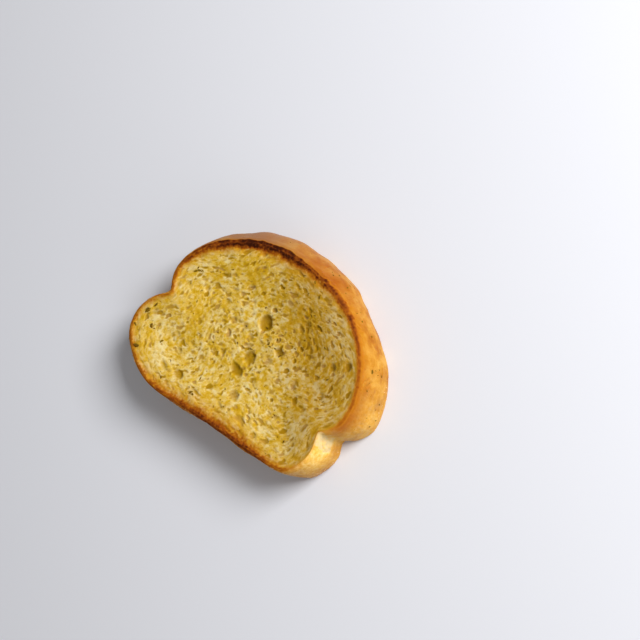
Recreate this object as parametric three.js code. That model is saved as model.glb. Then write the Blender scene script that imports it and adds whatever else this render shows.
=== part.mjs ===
// One thick slice of garlic bread, cut from a tin loaf and lying on its lower cut face.
//
// Millimetres, +Z up. +X runs along the side that stood on the floor of the tin, +Y from there to
// the dome, and the origin is on the underside, in the middle of the slice's box.
import * as THREE from "three";

// The two cut faces.
const THICKNESS = 25;
const SLANT = 4; // the knife ran off square, so the lower face lies this much further along +X
const DISH_DEPTH = 4.6; // the face is cupped: its middle lies this far below the rim of the crust
const DISH_EDGE = 0.65; // the slope down from the rim takes this share of the way in
const RIM_ROUND = 1.6; // rounding where the crust meets either cut face

// The crust bulges between the cut faces: most over the crown of the dome, least on the tin's
// floor. Each row is a heading in degrees, the bulge, and how far the foot lies inside the bulge.
const CRUST_SWELL = [
  [-180, 3.4, 1.2],
  [-150, 2.4, 0.8],
  [-120, 1.2, 0.4],
  [-60, 1.2, 0.6],
  [-45, 0.9, 1],
  [-35, 1.2, 2],
  [-22, 1.3, 2.2],
  [-15, 3, 1.3],
  [-8, 4.6, 1.3],
  [0, 3.8, 1.3],
  [15, 2.9, 1.6],
  [30, 1.4, 2.5],
  [40, 1.4, 2.9],
  [50, 1.9, 2.1],
  [62, 3.5, 1.1],
  [85, 5, 1.6],
  [104, 6.3, 2],
  [118, 6.5, 2],
  [134, 6.4, 2],
  [152, 3.9, 1.3],
  [180, 3.4, 1.2],
];
const BULGE_PEAK = 0.55; // widest at this share of the way down

// The upper cut face, as x and y of the few points that each smooth stretch of crust runs through,
// clockwise. A notch parts the dome from the lobe on either side, where the dough sprang.
const DOME = [
  [-53.4, -1.2],
  [-56.9, 9.5],
  [-53.9, 20.8],
  [-45.2, 31.8],
  [-32.2, 40.1],
  [-17.4, 46.2],
  [0.5, 48.4],
  [19.3, 46.1],
  [38.3, 38.9],
  [54.1, 26.9],
  [63.7, 11.5],
  [67.2, -3.5],
  [64.8, -15.5],
  [58.5, -21.6],
];
const RIGHT_LOBE = [
  [58.5, -21.6],
  [60.1, -31.5],
  [57.6, -40.3],
  [51.6, -47.2],
  [43, -49.3],
];
const TIN_FLOOR = [
  [43, -49.3],
  [4, -48.5],
  [-32, -49.2],
];
const LEFT_LOBE = [
  [-32, -49.2],
  [-43.8, -47.2],
  [-56.7, -40],
  [-65, -30.2],
  [-66.5, -18.6],
  [-61.6, -8],
  [-53.4, -1.2],
];

// How finely the solid is faceted.
const SPOKES = 180;
const CURVE_STEPS = 120;
const WALL_DEPTHS = [0, 0.4, 1, 3.5, 7.5, 12, 16.5, 20.5, 23.4, 24.5, THICKNESS];
const FACE_SHARES = [0.96, 0.9, 0.82, 0.72, 0.6, 0.45, 0.22];
const FULL_TURN = 2 * Math.PI;

// The upper face's edge, as angle and radius about its middle, in order of angle.
function crustEdge() {
  const points = [DOME, RIGHT_LOBE, TIN_FLOOR, LEFT_LOBE].flatMap((stretch) => {
    const curve = new THREE.SplineCurve(stretch.map(([x, y]) => new THREE.Vector2(x, y)));
    return curve.getSpacedPoints(CURVE_STEPS);
  });
  const polar = points.map((point) => ({ angle: point.angle(), radius: point.length() }));
  return polar.sort((a, b) => a.angle - b.angle);
}

// The edge's radius at an angle, between the two nearest points of it.
function radiusAt(edge, angle) {
  const found = edge.findIndex((point) => point.angle > angle);
  const after = edge[found < 0 ? 0 : found];
  const before = edge[found <= 0 ? edge.length - 1 : found - 1];
  const span = (after.angle - before.angle + FULL_TURN) % FULL_TURN;
  const along = (angle - before.angle + FULL_TURN) % FULL_TURN;
  return THREE.MathUtils.lerp(before.radius, after.radius, span > 0 ? along / span : 0);
}

// How far the crust stands out from the edge, in the direction of an angle and at a depth.
function bulgeAt(angle, depth) {
  const heading = THREE.MathUtils.euclideanModulo(THREE.MathUtils.radToDeg(angle) + 180, 360) - 180;
  const after = CRUST_SWELL.findIndex(([row]) => row > heading);
  const [from, bulgeFrom, footFrom] = CRUST_SWELL[after - 1];
  const [to, bulgeTo, footTo] = CRUST_SWELL[after];
  const share = THREE.MathUtils.smoothstep(heading, from, to);
  const bulge = THREE.MathUtils.lerp(bulgeFrom, bulgeTo, share);
  const foot = THREE.MathUtils.lerp(footFrom, footTo, share);
  const down = depth / THICKNESS;
  if (down < BULGE_PEAK) return bulge * Math.sin((down / BULGE_PEAK) * (Math.PI / 2));
  return bulge - foot * ((down - BULGE_PEAK) / (1 - BULGE_PEAK)) ** 2;
}

// How far the rounding pulls the crust in, near either cut face.
function roundingAt(depth) {
  const fromFace = Math.min(depth, THICKNESS - depth);
  const short = Math.max(0, 1 - fromFace / RIM_ROUND);
  return RIM_ROUND * (1 - Math.sqrt(1 - short * short));
}

// One ring of points round the crust, at a depth below the upper face.
function wallRing(edge, depth) {
  const shift = SLANT * (depth / THICKNESS);
  return Array.from({ length: SPOKES }, (_, spoke) => {
    const angle = (spoke / SPOKES) * FULL_TURN;
    const radius = radiusAt(edge, angle) + bulgeAt(angle, depth) - roundingAt(depth);
    const x = radius * Math.cos(angle) + shift;
    return new THREE.Vector3(x, radius * Math.sin(angle), THICKNESS - depth);
  });
}

// One ring of the crumb, at a share of the way out from the middle to the rim.
function faceRing(rim, share) {
  const sunk = DISH_DEPTH * THREE.MathUtils.smoothstep(1 - share, 0, DISH_EDGE);
  return rim.map((point) => new THREE.Vector3(point.x * share, point.y * share, point.z - sunk));
}

// Triangles between two rings of the same number of points. The first ring is the outer or upper.
function stitch(first, second) {
  const faces = [];
  for (let spoke = 0; spoke < SPOKES; spoke += 1) {
    const next = (spoke + 1) % SPOKES;
    faces.push([first + spoke, second + spoke, second + next]);
    faces.push([first + spoke, second + next, first + next]);
  }
  return faces;
}

// The whole slice as one closed skin: crumb, crust and flat underside.
function sliceGeometry() {
  const edge = crustEdge();
  const walls = WALL_DEPTHS.map((depth) => wallRing(edge, depth));
  const crumb = FACE_SHARES.map((share) => faceRing(walls[0], share)).reverse();
  const rings = [...crumb, ...walls];
  const points = rings.flat();
  const faces = rings.slice(1).flatMap((_, ring) => stitch(ring * SPOKES, (ring + 1) * SPOKES));

  const middle = points.push(new THREE.Vector3(0, 0, THICKNESS - DISH_DEPTH)) - 1;
  const underside = points.push(new THREE.Vector3(SLANT, 0, 0)) - 1;
  const lowest = (rings.length - 1) * SPOKES;
  for (let spoke = 0; spoke < SPOKES; spoke += 1) {
    const next = (spoke + 1) % SPOKES;
    faces.push([middle, spoke, next]);
    faces.push([underside, lowest + next, lowest + spoke]);
  }

  const geometry = new THREE.BufferGeometry().setFromPoints(points);
  geometry.setIndex(faces.flat());
  geometry.computeBoundingBox();
  const centre = geometry.boundingBox.getCenter(new THREE.Vector3());
  geometry.translate(-centre.x, -centre.y, 0);
  geometry.computeVertexNormals();
  return geometry;
}

const toastedBread = new THREE.MeshStandardMaterial({
  color: 0xd9a454,
  roughness: 0.6,
  metalness: 0,
});

const slice = new THREE.Mesh(sliceGeometry(), toastedBread);
slice.name = "slice";

const garlicBread = new THREE.Group();
garlicBread.add(slice);

export default garlicBread;
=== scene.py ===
# A thick slice of garlic bread, buttered, herbed and toasted, lying on its lower cut face.
import bmesh
import bpy
import numpy as np
from mathutils import Matrix, Vector


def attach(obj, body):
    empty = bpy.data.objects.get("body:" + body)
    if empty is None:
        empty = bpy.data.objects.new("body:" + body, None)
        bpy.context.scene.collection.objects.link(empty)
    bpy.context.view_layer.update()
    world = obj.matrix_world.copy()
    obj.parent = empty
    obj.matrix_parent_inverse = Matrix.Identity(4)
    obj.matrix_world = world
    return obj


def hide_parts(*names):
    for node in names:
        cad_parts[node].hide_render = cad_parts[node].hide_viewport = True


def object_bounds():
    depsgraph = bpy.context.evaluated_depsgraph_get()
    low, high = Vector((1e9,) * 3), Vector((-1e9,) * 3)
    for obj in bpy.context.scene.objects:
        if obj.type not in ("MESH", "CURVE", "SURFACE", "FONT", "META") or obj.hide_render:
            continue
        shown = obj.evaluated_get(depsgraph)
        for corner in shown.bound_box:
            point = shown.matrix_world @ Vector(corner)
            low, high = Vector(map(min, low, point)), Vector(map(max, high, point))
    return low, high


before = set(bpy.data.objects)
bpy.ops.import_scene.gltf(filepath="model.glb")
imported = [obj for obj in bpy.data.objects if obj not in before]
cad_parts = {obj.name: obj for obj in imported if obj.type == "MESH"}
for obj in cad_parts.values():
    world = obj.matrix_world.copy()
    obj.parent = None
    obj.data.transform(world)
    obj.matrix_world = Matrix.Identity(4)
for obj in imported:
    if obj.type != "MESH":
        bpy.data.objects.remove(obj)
cad_low, cad_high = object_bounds()

# ---------------------------------------------------------------------------------------------
# THE CUT LOAF
# A tin loaf's section: a dome of dough that rose free, over two lobes and the tin's flat floor.
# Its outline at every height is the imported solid's own, so crumb and crust start from true size.
MM = 0.001
FULL_TURN = 2 * np.pi
SPOKES = 1600  # points round the crust
SPOKE_GAP = 0.26  # how far apart they are, in mm
WALL_STEPS = 60  # rings from the rim down to the underside
NOT_MIDDLE = 10.0  # a corner nearer the middle than this, in mm, is the centre of a cut face
SAME_LEVEL = 0.006  # corners this close in height, in mm, are on one ring
LEAST_WALL = 0.99  # a ring smaller than this share of the rim lies in the cut face, not in the wall

solid = np.array([v.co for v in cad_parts["slice"].data.vertices]) / MM
THICKNESS = solid[:, 2].max()
RING_GAP = THICKNESS / WALL_STEPS
turn = np.arange(SPOKES) * FULL_TURN / SPOKES


def ring_reach(level):
    """The solid's radius at every spoke, in the ring of corners that lies at one height."""
    ring = solid[np.abs(solid[:, 2] - level) < SAME_LEVEL]
    radius = np.hypot(ring[:, 0], ring[:, 1])
    ring, radius = ring[radius > NOT_MIDDLE], radius[radius > NOT_MIDDLE]
    angle = np.arctan2(ring[:, 1], ring[:, 0])
    return np.interp(turn, angle, radius, period=FULL_TURN)


rim = ring_reach(THICKNESS)
rings = [(level, ring_reach(level)) for level in np.unique(np.round(solid[:, 2], 2))]
rings = [(level, reach) for level, reach in rings if reach.mean() > LEAST_WALL * rim.mean()]
ring_levels = np.array([level for level, _ in rings])
ring_reaches = np.array([reach for _, reach in rings])


def wall_between_rings(levels):
    """The radius at each spoke and height, on a smooth curve through the solid's rings."""
    slopes = np.gradient(ring_reaches, ring_levels, axis=0)
    low = np.clip(np.searchsorted(ring_levels, levels) - 1, 0, len(ring_levels) - 2)
    gap = (ring_levels[low + 1] - ring_levels[low])[:, None]
    t = (levels - ring_levels[low])[:, None] / gap
    ends = (2 * t**3 - 3 * t**2 + 1) * ring_reaches[low]
    ends += (3 * t**2 - 2 * t**3) * ring_reaches[low + 1]
    bends = (t**3 - 2 * t**2 + t) * slopes[low] + (t**3 - t**2) * slopes[low + 1]
    return (ends + gap * bends).T


# ---------------------------------------------------------------------------------------------
# THE CRUMB'S RELIEF
# Open white crumb, cut across: gas cells of every size, drawn out along the crust near it and
# round in the middle, under a face that cupped as it toasted. It is worked out as heights over a
# fine grid, by letting bubbles bite into the cut wherever they reach it.
CELL = 0.16  # the grid's spacing
MARGIN = 1.5  # how far the grid reaches past the solid's box
CUP_DEPTH = 4.3  # the middle of the face below the crust's rim
CUP_WIDTHS = (26.0, 37.0)  # how far in from the rim it slopes: least on the left, most on the right
CUP_HEADING = np.radians(35)  # where it slopes most gently
RIM_STEP, RIM_WIDTH = 0.55, 2.4  # the toasted rim stands this far above the crumb, over this width
GRAIN_REACH = 17.0  # the crust's hold on the grain fades over this far
GRAIN_WANDER, GRAIN_RIPPLE = 9.0, 2.5  # the widths of the grain's wide and narrow bends
chance = np.random.default_rng(7)

grid_x = np.arange(cad_low.x / MM - MARGIN, cad_high.x / MM + MARGIN, CELL)
grid_y = np.arange(cad_low.y / MM - MARGIN, cad_high.y / MM + MARGIN, CELL)
flat_x, flat_y = np.meshgrid(grid_x, grid_y)
flat_angle = np.arctan2(flat_y, flat_x)


def soften(field, across, along=None):
    """Blurs a field by a bell curve of that many cells across its rows, and along them."""
    along = across if along is None else along
    row_wave = np.fft.fftfreq(field.shape[0])[:, None] * across
    column_wave = np.fft.rfftfreq(field.shape[1]) * along
    kept = np.exp(-2 * np.pi**2 * (row_wave**2 + column_wave**2))
    return np.fft.irfft2(np.fft.rfft2(field) * kept, s=field.shape)


def blurred(field, width):
    """A field over the face, blurred by that many millimetres."""
    return soften(field, width / CELL)


def even_out(field):
    """The same field with a mean of 0 and a spread of 1."""
    return (field - field.mean()) / field.std()


def mottle(shape, across, along=None):
    """A random smooth field with a spread of 1."""
    return even_out(soften(chance.standard_normal(shape), across, along))


def face_mottle(size):
    """A random field over the face, with lumps about that many millimetres wide."""
    return mottle(flat_x.shape, size / CELL)


def ease(value, start, end):
    """0 before start, 1 after end, and smooth between."""
    share = np.clip((value - start) / (end - start), 0, 1)
    return share * share * (3 - 2 * share)


def sample(field, x, y):
    """A grid field's value at points given in millimetres."""
    column = np.clip((x - grid_x[0]) / CELL, 0, field.shape[1] - 1.001)
    row = np.clip((y - grid_y[0]) / CELL, 0, field.shape[0] - 1.001)
    i, j = row.astype(int), column.astype(int)
    down, right = row - i, column - j
    upper = field[i, j] * (1 - right) + field[i, j + 1] * right
    lower = field[i + 1, j] * (1 - right) + field[i + 1, j + 1] * right
    return upper * (1 - down) + lower * down


def distance_to_edge(reach):
    """How far inside an outline each grid point lies, below zero outside it."""
    every_spoke, every_cell = 4, 5
    near, near_turn = reach[::every_spoke], turn[::every_spoke]
    edge_x, edge_y = near * np.cos(near_turn), near * np.sin(near_turn)
    xs, ys = grid_x[::every_cell], grid_y[::every_cell]
    gap = np.array([np.hypot(xs[:, None] - edge_x, y - edge_y).min(axis=1) for y in ys])
    rows = np.array([np.interp(grid_x, xs, line) for line in gap])
    fine = np.array([np.interp(grid_y, ys, line) for line in rows.T]).T
    edge_radius = np.interp(flat_angle, turn, reach, period=FULL_TURN)
    return np.where(np.hypot(flat_x, flat_y) < edge_radius, fine, -fine)


inside = distance_to_edge(rim)

# The crumb's grain runs along the crust near it and wanders in the middle.
near_crust = np.exp(-np.maximum(inside, 0) / GRAIN_REACH)
slope_y, slope_x = np.gradient(blurred(inside, 3.5))
grain = np.arctan2(slope_x, -slope_y)
grain += (0.1 + 0.6 * (1 - near_crust)) * face_mottle(GRAIN_WANDER)
grain += 0.16 * face_mottle(GRAIN_RIPPLE)
grain_x, grain_y = np.cos(grain), np.sin(grain)


def combed(field, reach):
    """A field smeared along the grain, to that many millimetres either way."""
    stride = 1.3  # grid cells a step
    steps = int(reach / (stride * CELL))
    total = field.copy()
    for way in (-stride, stride):
        row, column = np.indices(field.shape, dtype=np.float32)
        for step in range(1, steps + 1):
            i = np.clip(np.rint(row), 0, field.shape[0] - 1).astype(np.int32)
            j = np.clip(np.rint(column), 0, field.shape[1] - 1).astype(np.int32)
            column += way * grain_x[i, j]
            row += way * grain_y[i, j]
            total += field[i, j] * (0.5 + 0.5 * np.cos(np.pi * step / (steps + 1)))
    return even_out(total)


def strands(width, reach_in_middle, reach_at_crust):
    """A random fibrous field, its fibres longer near the crust."""
    seed = face_mottle(width)
    short, long = combed(seed, reach_in_middle), combed(seed, reach_at_crust)
    return even_out(short + (long - short) * near_crust)


def gas_cells(depth, count, typical, spread, largest, highest, stretch):
    """Random gas cells near a cut, one a row: x, y, half length, half width, half height, rise,
    heading and how dry."""
    clear_of_crust = 0.6
    x = chance.uniform(grid_x[0], grid_x[-1], count)
    y = chance.uniform(grid_y[0], grid_y[-1], count)
    kept = sample(depth, x, y) > clear_of_crust
    x, y = x[kept], y[kept]
    near = np.exp(-sample(depth, x, y) / GRAIN_REACH)
    half_width = typical * np.exp(chance.normal(0, spread, len(x))) * (1 - 0.35 * near)
    half_width = np.minimum(half_width, largest)
    half_length = half_width * (1.05 + chance.uniform(0, 0.5, len(x)) + stretch * near)
    half_height = half_width * chance.uniform(0.8, 1.4, len(x))
    rise = half_height * chance.uniform(-0.9, highest, len(x))
    turned = np.arctan2(sample(grain_y, x, y), sample(grain_x, x, y))
    turned += chance.normal(0, 0.1 + 0.25 * (1 - near))
    dry = chance.uniform(0, 1, len(x))
    return np.stack([x, y, half_length, half_width, half_height, rise, turned, dry], 1)


def bite(cells, bend, bend_size):
    """How deep the cut surface lies once each gas cell has opened into it, and how dry it is."""
    # Real cells are dented by their neighbours, so they are drawn on a slightly bent grid.
    bent_x = flat_x + bend * face_mottle(bend_size)
    bent_y = flat_y + bend * face_mottle(bend_size)
    drop = np.zeros_like(flat_x)
    dryness = np.full_like(flat_x, 0.5)
    highest_first = cells[np.argsort(-cells[:, 5])]
    for x, y, half_length, half_width, half_height, rise, turned, dry in highest_first:
        span = half_length + 2.5 * bend
        i0, i1 = np.searchsorted(grid_y, (y - span, y + span))
        j0, j1 = np.searchsorted(grid_x, (x - span, x + span))
        away_x, away_y = bent_x[i0:i1, j0:j1] - x, bent_y[i0:i1, j0:j1] - y
        c, s = np.cos(turned), np.sin(turned)
        lengthwise = (away_x * c + away_y * s) / half_length
        crosswise = (away_y * c - away_x * s) / half_width
        room = 1 - lengthwise**2 - crosswise**2
        bulge = half_height * np.sqrt(np.maximum(room, 0))
        here = drop[i0:i1, j0:j1]
        bitten = (room > 0) & (here < rise + bulge) & (here > rise - bulge)
        drop[i0:i1, j0:j1] = np.where(bitten, rise - bulge, here)
        dryness[i0:i1, j0:j1] = np.where(bitten, dry, dryness[i0:i1, j0:j1])
    return drop, dryness


# The widest gas cells: x, y, half length, half width, half height, rise, heading in degrees and
# how dry, from 0 where butter pooled to 1 for bare crumb.
WIDE_CELLS = [
    (-1.2, 8.6, 4.2, 3.7, 3.0, -0.4, -70, 0.0),
    (-0.6, -10.7, 4.0, 3.1, 2.2, 0.0, -64, 0.1),
    (-3.8, -19.9, 4.6, 2.7, 2.4, -0.2, -21, 0.1),
    (1.8, -30.8, 3.4, 2.6, 1.8, 0.2, -16, 0.6),
    (-31.6, -37.5, 3.1, 2.0, 1.8, -0.2, -16, 0.3),
    (-41.2, -37.6, 3.6, 1.2, 1.3, 0.0, -31, 0.4),
    (3.9, 2.3, 2.2, 2.0, 1.3, 0.4, -59, 0.4),
    (12.8, -0.2, 2.4, 1.8, 1.9, -0.3, -37, 0.0),
    (9.9, -7.0, 2.4, 2.2, 1.5, 0.3, -59, 1.0),
    (-4.8, -6.0, 2.7, 1.3, 1.2, 0.1, 20, 0.8),
    (-11.2, 1.6, 2.2, 2.1, 1.3, 0.4, -70, 1.0),
    (-18.6, 1.4, 2.1, 1.7, 1.3, 0.1, -12, 0.7),
    (-5.8, -1.3, 1.9, 1.6, 1.3, 0.0, -59, 0.6),
    (-16.8, 20.8, 2.6, 1.7, 1.2, 0.4, 1, 0.9),
    (-25.4, 15.3, 2.2, 1.0, 1.0, 0.1, 19, 0.4),
    (-39.8, 8.1, 1.6, 1.4, 1.2, 0.1, -93, 0.5),
    (-26.9, 8.3, 1.7, 1.4, 1.2, 0.1, 28, 0.3),
    (-16.6, -15.6, 2.1, 1.6, 1.3, 0.0, -26, 0.3),
    (28.6, -11.0, 3.6, 1.5, 1.3, 0.2, -81, 1.0),
    (12.8, -39.7, 2.8, 1.5, 1.3, 0.1, -16, 0.6),
    (27.9, -28.7, 2.0, 1.5, 1.2, 0.2, -26, 0.8),
    (43.4, 7.8, 2.3, 1.4, 1.5, -0.2, -70, 0.0),
    (51.6, 12.1, 2.4, 1.5, 1.7, -0.4, -70, 0.0),
    (20.8, 19.5, 2.1, 2.0, 1.3, 0.3, -59, 0.2),
    (18.8, 15.5, 1.6, 1.4, 1.5, -0.2, -59, 0.0),
    (45.4, -7.5, 2.1, 1.2, 1.2, 0.0, -70, 0.4),
    (-17.8, 38.5, 1.6, 1.2, 1.4, -0.2, 27, 0.1),
    (-3.1, 40.7, 1.8, 1.0, 1.1, 0.0, -13, 0.2),
    (-32.3, 35.2, 1.7, 0.9, 0.9, 0.0, 18, 0.2),
    (-50.6, 21.6, 1.6, 0.8, 0.9, 0.0, 55, 0.3),
    (-50.4, 5.9, 1.7, 0.9, 0.9, 0.0, 27, 0.4),
    (-59.8, -16.0, 2.3, 1.6, 1.2, 0.2, -104, 0.6),
    (-43.3, -19.9, 2.1, 0.8, 0.9, 0.0, -26, 0.4),
    (-33.5, -20.5, 2.1, 1.0, 1.1, 0.0, -26, 0.3),
    (-38.4, -27.0, 1.6, 1.3, 1.1, 0.0, -11, 0.2),
    (-17.9, -40.0, 2.4, 1.2, 1.2, 0.0, -6, 0.3),
    (-1.4, -39.3, 3.1, 1.0, 1.0, 0.0, -21, 0.3),
    (23.2, -41.8, 2.3, 1.0, 1.0, 0.0, -16, 0.5),
]
wide_cells = np.array(WIDE_CELLS)
wide_cells[:, 6] = np.radians(wide_cells[:, 6])
# The rest: how many, usual half width and its spread, widest, how high over the cut one may lie as
# a share of its half height, and how much longer it is near the crust.
middling_cells = gas_cells(inside, 1500, 0.7, 0.3, 1.3, 0.4, 2.0)
small_cells = gas_cells(inside, 4200, 0.38, 0.25, 0.6, 0.4, 2.2)
foam_cells = gas_cells(inside, 9000, 0.5, 0.3, 1.0, 0.5, 2.6)
fine_cells = gas_cells(inside, 26000, 0.28, 0.2, 0.45, 0.8, 1.3)

# The right of the face drank butter right through: it has slumped a little, and its colour is
# darkened there, partly painted shade where the cupped face turns away from the light.
SOAK_SHADE_HEADING, SOAK_SHADE_START, SOAK_SHADE_END = np.radians(31), -6.0, 34.0
soaked = ease(flat_x * np.cos(SOAK_SHADE_HEADING) + flat_y * np.sin(SOAK_SHADE_HEADING), SOAK_SHADE_START, SOAK_SHADE_END)

sponge_cells = np.concatenate([middling_cells, small_cells])
wide_drop, wide_dryness = bite(wide_cells, bend=0.3, bend_size=1.5)
sponge_drop, sponge_dryness = bite(sponge_cells, bend=0.24, bend_size=0.6)
foam_drop, _ = bite(foam_cells, bend=0.25, bend_size=0.7)
fine_drop, _ = bite(fine_cells, bend=0.1, bend_size=0.5)
fibres = strands(width=0.22, reach_in_middle=0.7, reach_at_crust=3.4)
coarse_fibres = strands(width=0.4, reach_in_middle=0.9, reach_at_crust=4.0)

# Butter and melted lips leave less of each kind's depth, and round its edge over some millimetres.
WIDE_LEFT, SPONGE_LEFT, FOAM_LEFT, FINE_LEFT = 0.72, 0.37, 0.1, 0.05
WIDE_LIP, SPONGE_LIP, FOAM_LIP = 0.5, 0.3, 0.2
BARE_RIM = (0.5, 2.0)  # no cell is open nearer the rim than the first, all beyond the second
face_drop = WIDE_LEFT * blurred(wide_drop, WIDE_LIP)
face_drop += SPONGE_LEFT * blurred(sponge_drop, SPONGE_LIP)
face_drop += FOAM_LEFT * blurred(foam_drop, FOAM_LIP)
face_drop += FINE_LEFT * fine_drop
face_drop = face_drop * ease(inside, *BARE_RIM) * (1 - 0.3 * soaked)
to_the_right = 0.5 + 0.5 * np.cos(flat_angle - CUP_HEADING)
cup_width = CUP_WIDTHS[0] + (CUP_WIDTHS[1] - CUP_WIDTHS[0]) * to_the_right
rim_step = RIM_STEP * (1 - 0.8 * to_the_right**2)
cup = -CUP_DEPTH * ease(inside / cup_width, 0, 1) - rim_step * ease(inside, 0.15, RIM_WIDTH)
cup += 0.12 * face_mottle(7) * ease(inside, 0, 6)
cup += 0.1 * face_mottle(1.8) * ease(inside, 0, 3)
face_relief = cup + face_drop + (0.01 * fibres + 0.02 * coarse_fibres) * ease(inside, 0.2, 1.5)

# ---------------------------------------------------------------------------------------------
# THE CRUST'S RELIEF
# Thin baked crust round the cut: it swells and sinks a little over the crumb, blisters near the
# rim, is creased where the dough folded, and is torn open under the right notch.
NO_BLUR = 0.01  # for a field that is softened one way only
# The rings crowd together towards the rim and the foot, where the crust turns in.
wall_level = THICKNESS * (0.5 + 0.5 * np.cos(np.pi * np.linspace(0, 1, WALL_STEPS + 1)))
wall_reach = soften(wall_between_rings(wall_level), 0.9 / SPOKE_GAP, NO_BLUR)
wall_reach[:, 0] = rim
wall_shape = wall_reach.shape
wall_down = np.broadcast_to(THICKNESS - wall_level, wall_shape)
wall_turn = np.degrees(np.broadcast_to(turn[:, None], wall_shape))
wall_turn = (wall_turn + 180) % 360 - 180


def wall_mottle(size):
    """A random field over the wall, with lumps about that many millimetres wide."""
    return mottle(wall_shape, size / SPOKE_GAP, size / RING_GAP)


def degrees_from(angle):
    """How far round the wall each point lies from an angle, in degrees."""
    return (wall_turn - angle + 180) % 360 - 180


def facing(angle, half_width, power=2):
    """1 where the wall faces an angle in degrees, fading to 0 beyond that half width."""
    return np.exp(-((degrees_from(angle) / half_width) ** power))


# Each is a height in millimetres times a random field of lumps, as wide as its brackets say.
swell = 0.22 * wall_mottle(6.0) + 0.07 * wall_mottle(2.0)
blister_zone = 0.2 + ease(wall_down, 0.4, 1.5) - ease(wall_down, 3, 6)
blisters = 0.3 * ease(wall_mottle(0.6), 1.5, 3.0) * blister_zone
grainy_skin = 0.7 + 1.3 * facing(-27, 20)
skin = grainy_skin * (0.024 * wall_mottle(0.35) + 0.018 * wall_mottle(0.7))

# The side that lay on the tin's floor is pocked where steam was caught under it.
tin_side = ease(-np.sin(np.radians(wall_turn)), 0.45, 0.95)
pocks = 0.28 * ease(wall_mottle(0.5), 1.2, 2.6) + 0.2 * ease(wall_mottle(1.1), 1.0, 2.4)

# Creases and, with a depth below zero, ridges: angle and millimetres down at the middle, half
# length, heading on the wall in degrees from upright, half width, depth.
CREASES = [
    (9.5, 4.2, 2.2, 50, 0.35, 0.6),
    (8.0, 5.6, 2.6, 45, 0.35, 0.65),
    (13.5, 2.4, 1.4, 60, 0.3, 0.45),
    (24.0, 15.0, 2.6, 84, 0.5, -0.25),
    (15.5, 16.0, 3.4, 86, 0.5, -0.3),
    (6.0, 13.0, 2.2, 80, 0.45, -0.2),
    (48.0, 6.0, 2.0, 20, 0.35, 0.25),
    (-8.0, 10.0, 2.0, 35, 0.35, 0.25),
    (75.0, 9.0, 3.0, 12, 0.4, 0.3),
    (120.0, 11.0, 2.6, -25, 0.4, 0.3),
    (150.0, 8.0, 2.4, 30, 0.4, 0.3),
    (-160.0, 9.0, 2.6, -30, 0.4, 0.3),
    (-40.0, 13.0, 2.0, 60, 0.4, 0.25),
]
creases = np.zeros(wall_shape)
for angle, level, half_length, slant, half_width, depth in CREASES:
    aside, above = np.radians(degrees_from(angle)) * wall_reach, wall_down - level
    c, s = np.cos(np.radians(slant)), np.sin(np.radians(slant))
    lengthwise, crosswise = aside * s + above * c, aside * c - above * s
    creases += depth * np.exp(-((crosswise / half_width) ** 2) - (lengthwise / half_length) ** 4)

# The knife's ragged lower edge, chipped most under the dome's right shoulder.
low_edge = ease(wall_down, THICKNESS - 2.6, THICKNESS - 0.6)
chipped = 1 + 1.6 * facing(-12, 15)
ragged = -0.3 * chipped * ease(wall_mottle(0.5) + wall_mottle(1.4), 0.2, 2.6) * low_edge

# Where the lobe tore away from the dome as it sprang, bare crumb shows below the right notch.
TEAR_ANGLE, TEAR_HALF_ANGLE, TEAR_LEVEL, TEAR_HALF_LEVEL = -24.5, 3.4, 5.6, 6.4
tear_aside = degrees_from(TEAR_ANGLE) / TEAR_HALF_ANGLE
tear_above = (wall_down - TEAR_LEVEL) / TEAR_HALF_LEVEL
tear_edge = tear_aside**4 + tear_above**4
torn = 1 - ease(tear_edge + 0.4 * wall_mottle(0.8) + 0.3 * wall_mottle(0.35), 0.5, 1.4)
torn = np.clip(torn * (1.0 + 0.25 * wall_mottle(0.45)), 0, 1)
left_tear = np.exp(-((degrees_from(181) / 3.5) ** 2) - ((wall_down - 3) / 6) ** 2)
shreds = (0.16 * wall_mottle(0.5) - 0.6) * torn + 0.25 * wall_mottle(0.7) * left_tear

wall_out = (swell + blisters + skin - tin_side * pocks - creases) * ease(wall_down, 0.0, 1.5)
wall_out += ragged
wall_out += shreds * ease(wall_down, 0.0, 0.8)
wall_radius = wall_reach + wall_out
crest = 0.14 * mottle((SPOKES, 2), 5 / SPOKE_GAP, NO_BLUR)[:, :1]
crest = crest * ease(wall_level, THICKNESS - 5, THICKNESS)
wall_height = wall_level + crest

# ---------------------------------------------------------------------------------------------
# BROWNING AND BUTTER
# The rim caught the grill most at the top of the dome and along the tin's floor, least by the right
# notch, and glows orange just inside. Melted butter lies in pools and soaks along the grain.

# Browning: angle in degrees, width in mm, darkness from 0 to 1, and how far in mm its glow fades.
BROWNING = [
    (-172, 1.4, 0.4, 1.2),
    (-158, 1.4, 0.46, 1.5),
    (-142, 1.6, 0.52, 2.2),
    (-128, 2.1, 0.62, 3.2),
    (-110, 2.6, 0.7, 3.8),
    (-90, 2.8, 0.75, 4.2),
    (-65, 2.7, 0.76, 3.8),
    (-50, 2.0, 0.62, 2.6),
    (-42, 1.3, 0.34, 1.8),
    (-33, 0.9, 0.12, 1.0),
    (-23, 0.8, 0.1, 0.8),
    (-12, 1.0, 0.44, 1.6),
    (15, 1.1, 0.6, 1.8),
    (40, 1.5, 0.68, 2.2),
    (60, 1.9, 0.72, 2.8),
    (78, 2.0, 0.7, 2.6),
    (92, 2.7, 0.86, 2.4),
    (105, 3.2, 0.98, 2.2),
    (118, 3.2, 1.0, 2.0),
    (130, 2.9, 0.92, 1.8),
    (142, 2.9, 0.84, 1.9),
    (152, 2.6, 0.74, 1.8),
    (165, 2.1, 0.62, 1.6),
    (176, 1.5, 0.5, 1.3),
]
brown_angle, brown_width, brown_depth, brown_glow = np.array(BROWNING).T


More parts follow.
